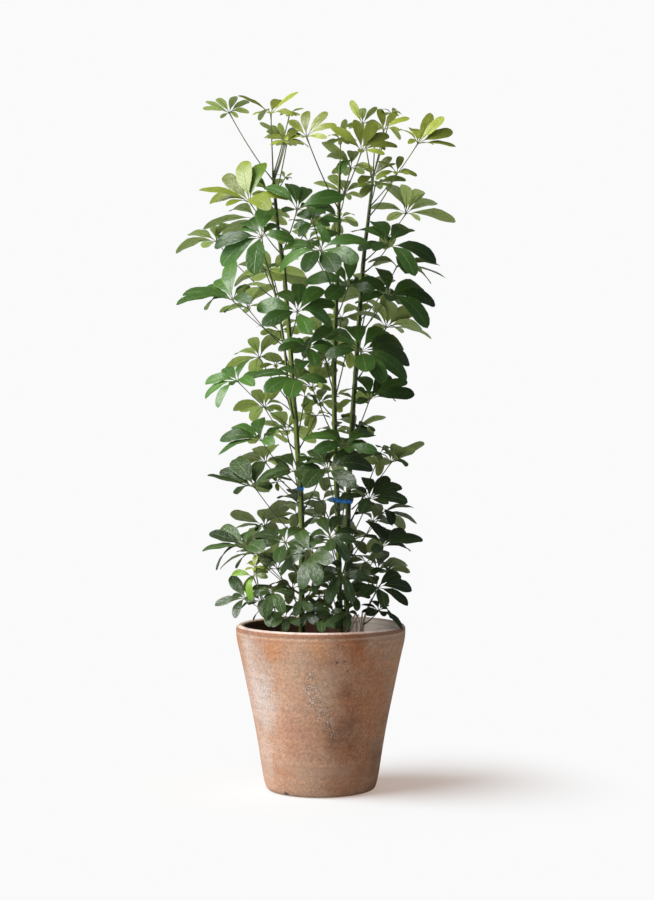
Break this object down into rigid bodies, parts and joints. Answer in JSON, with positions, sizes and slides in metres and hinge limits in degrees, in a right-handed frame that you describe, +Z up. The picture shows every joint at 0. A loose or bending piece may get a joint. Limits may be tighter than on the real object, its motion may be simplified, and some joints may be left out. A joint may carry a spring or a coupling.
{
  "type": "potted umbrella plant",
  "caption": "Tall potted umbrella plant: tied upright stems with whorled, drooping leaflets in a tapered terracotta pot.",
  "frame": {"origin": "centre of the pot's flat underside", "axes": "+Z up along the pot's axis; -Y towards the side that the picture shows; +X to that viewer's right"},
  "size_m": [0.5064, 0.4261, 1.2313],
  "materials": {
    "terracotta": "matte",
    "soil": "rough",
    "bark": "matte",
    "young_leaf": "satin",
    "leaf": "satin",
    "dark_leaf": "satin",
    "tie": "satin"
  },
  "bodies": {
    "root": {"pot": "terracotta", "soil": "soil", "stem_left": "bark", "stem_middle": "bark", "stem_right": "bark", "tie_upper": "tie", "tie_pair": "tie", "tie_lower": "tie", "crown_left": "young_leaf", "crown_middle": "young_leaf", "crown_right": "young_leaf", "side_shoot": "leaf", "low_shoot_left": "dark_leaf", "low_shoot_right": "dark_leaf", "low_shoot_middle": "dark_leaf", "frond_18": "leaf", "frond_20": "leaf", "frond_21": "leaf", "frond_22": "leaf", "frond_23": "leaf", "frond_28": "leaf", "frond_29": "leaf", "frond_31": "leaf", "frond_32": "leaf", "frond_33": "leaf", "frond_34": "leaf", "frond_35": "leaf", "frond_36": "leaf", "frond_37": "leaf", "frond_38": "leaf", "frond_39": "leaf", "frond_40": "leaf", "frond_41": "leaf", "frond_43": "leaf", "frond_44": "leaf", "frond_46": "leaf", "frond_47": "leaf", "frond_48": "leaf", "frond_49": "dark_leaf", "frond_50": "dark_leaf", "frond_52": "dark_leaf", "frond_53": "dark_leaf", "frond_54": "dark_leaf", "frond_55": "leaf", "frond_56": "dark_leaf", "frond_57": "dark_leaf", "frond_58": "dark_leaf", "frond_60": "dark_leaf", "frond_61": "dark_leaf", "frond_62": "dark_leaf", "frond_64": "dark_leaf", "frond_71": "dark_leaf", "frond_76": "leaf", "frond_77": "leaf", "frond_78": "leaf", "frond_79": "leaf", "frond_80": "leaf", "frond_81": "dark_leaf", "frond_82": "dark_leaf", "frond_83": "dark_leaf"}
  },
  "joints": []
}
